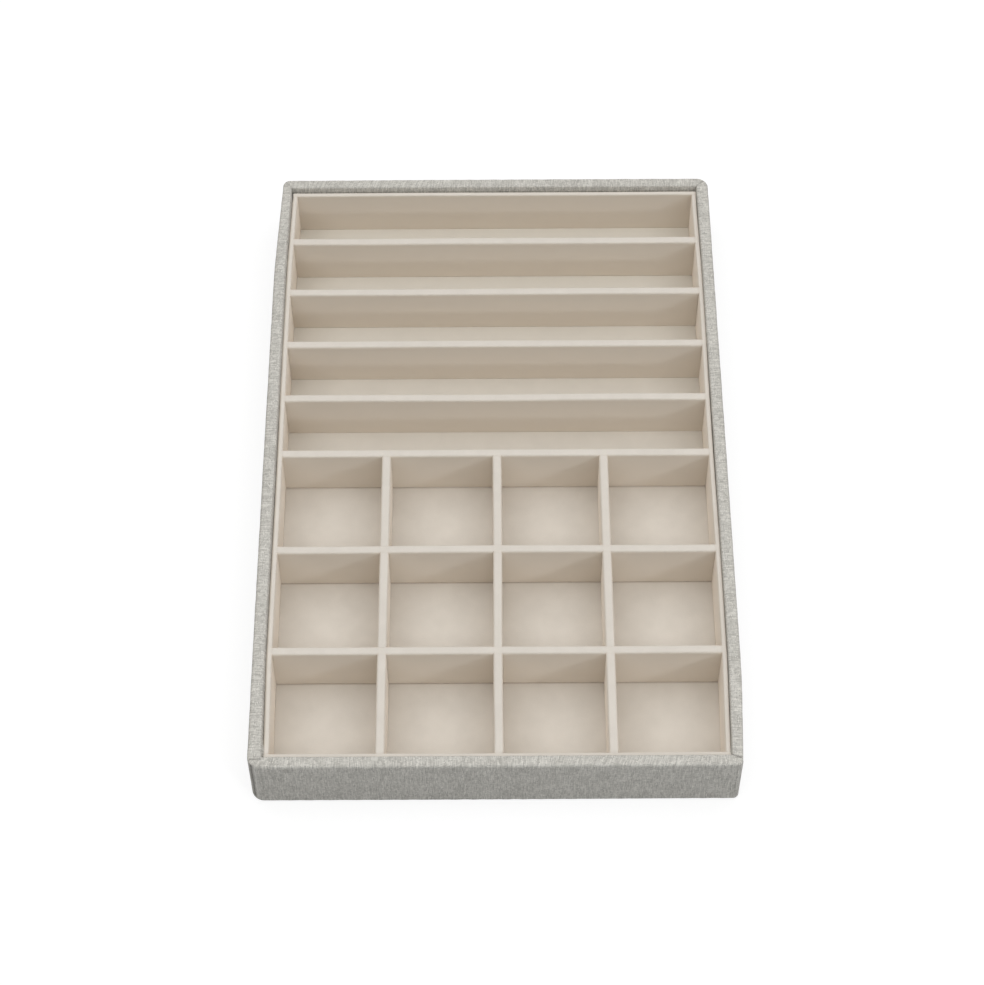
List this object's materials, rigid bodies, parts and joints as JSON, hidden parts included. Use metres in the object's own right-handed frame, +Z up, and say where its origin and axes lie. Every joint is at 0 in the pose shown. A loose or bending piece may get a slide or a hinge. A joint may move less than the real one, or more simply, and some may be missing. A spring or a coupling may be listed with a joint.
{
  "type": "jewelry tray",
  "caption": "Open rectangular jewelry tray: a linen-covered case holding a lift-out velvet-covered insert with long slots at the back and square cells in front.",
  "frame": {"origin": "middle of the underside, on the surface the tray stands on", "axes": "+X to the right across the short side, +Y to the back, where the long slots are, +Z up out of the open top"},
  "size_m": [0.25, 0.3886, 0.0355],
  "materials": {
    "linen": "matt woven linen-look cloth, light warm grey with lighter and darker threads",
    "velvet": "short-pile beige velvet with a soft sheen",
    "case_board": "plain sanded fibreboard, matt",
    "card": "matt grey card",
    "felt": "thin pressed felt, matt"
  },
  "bodies": {
    "case": {"base_board": "case_board", "front_board": "case_board", "back_board": "case_board", "left_board": "case_board", "right_board": "case_board", "linen_wrap": "linen", "underside_cover": "felt"},
    "insert": {"insert_floor_board": "card", "floor_lining": "velvet", "insert_front_wall": "card", "insert_back_wall": "card", "insert_left_wall": "card", "insert_right_wall": "card", "row_divider_1": "card", "row_divider_2": "card", "row_divider_3": "card", "row_divider_4": "card", "row_divider_5": "card", "row_divider_6": "card", "row_divider_7": "card", "column_divider_1": "card", "column_divider_2": "card", "column_divider_3": "card", "insert_front_wall_velvet": "velvet", "insert_back_wall_velvet": "velvet", "insert_left_wall_velvet": "velvet", "insert_right_wall_velvet": "velvet", "row_divider_1_velvet": "velvet", "row_divider_2_velvet": "velvet", "row_divider_3_velvet": "velvet", "row_divider_4_velvet": "velvet", "row_divider_5_velvet": "velvet", "row_divider_6_velvet": "velvet", "row_divider_7_velvet": "velvet", "column_divider_1_velvet": "velvet", "column_divider_2_velvet": "velvet", "column_divider_3_velvet": "velvet"}
  },
  "joints": [
    {"name": "insert_lift", "type": "slide", "parent": "case", "child": "insert", "axis": [0, 0, 1], "range_m": [0, 0.05]}
  ]
}
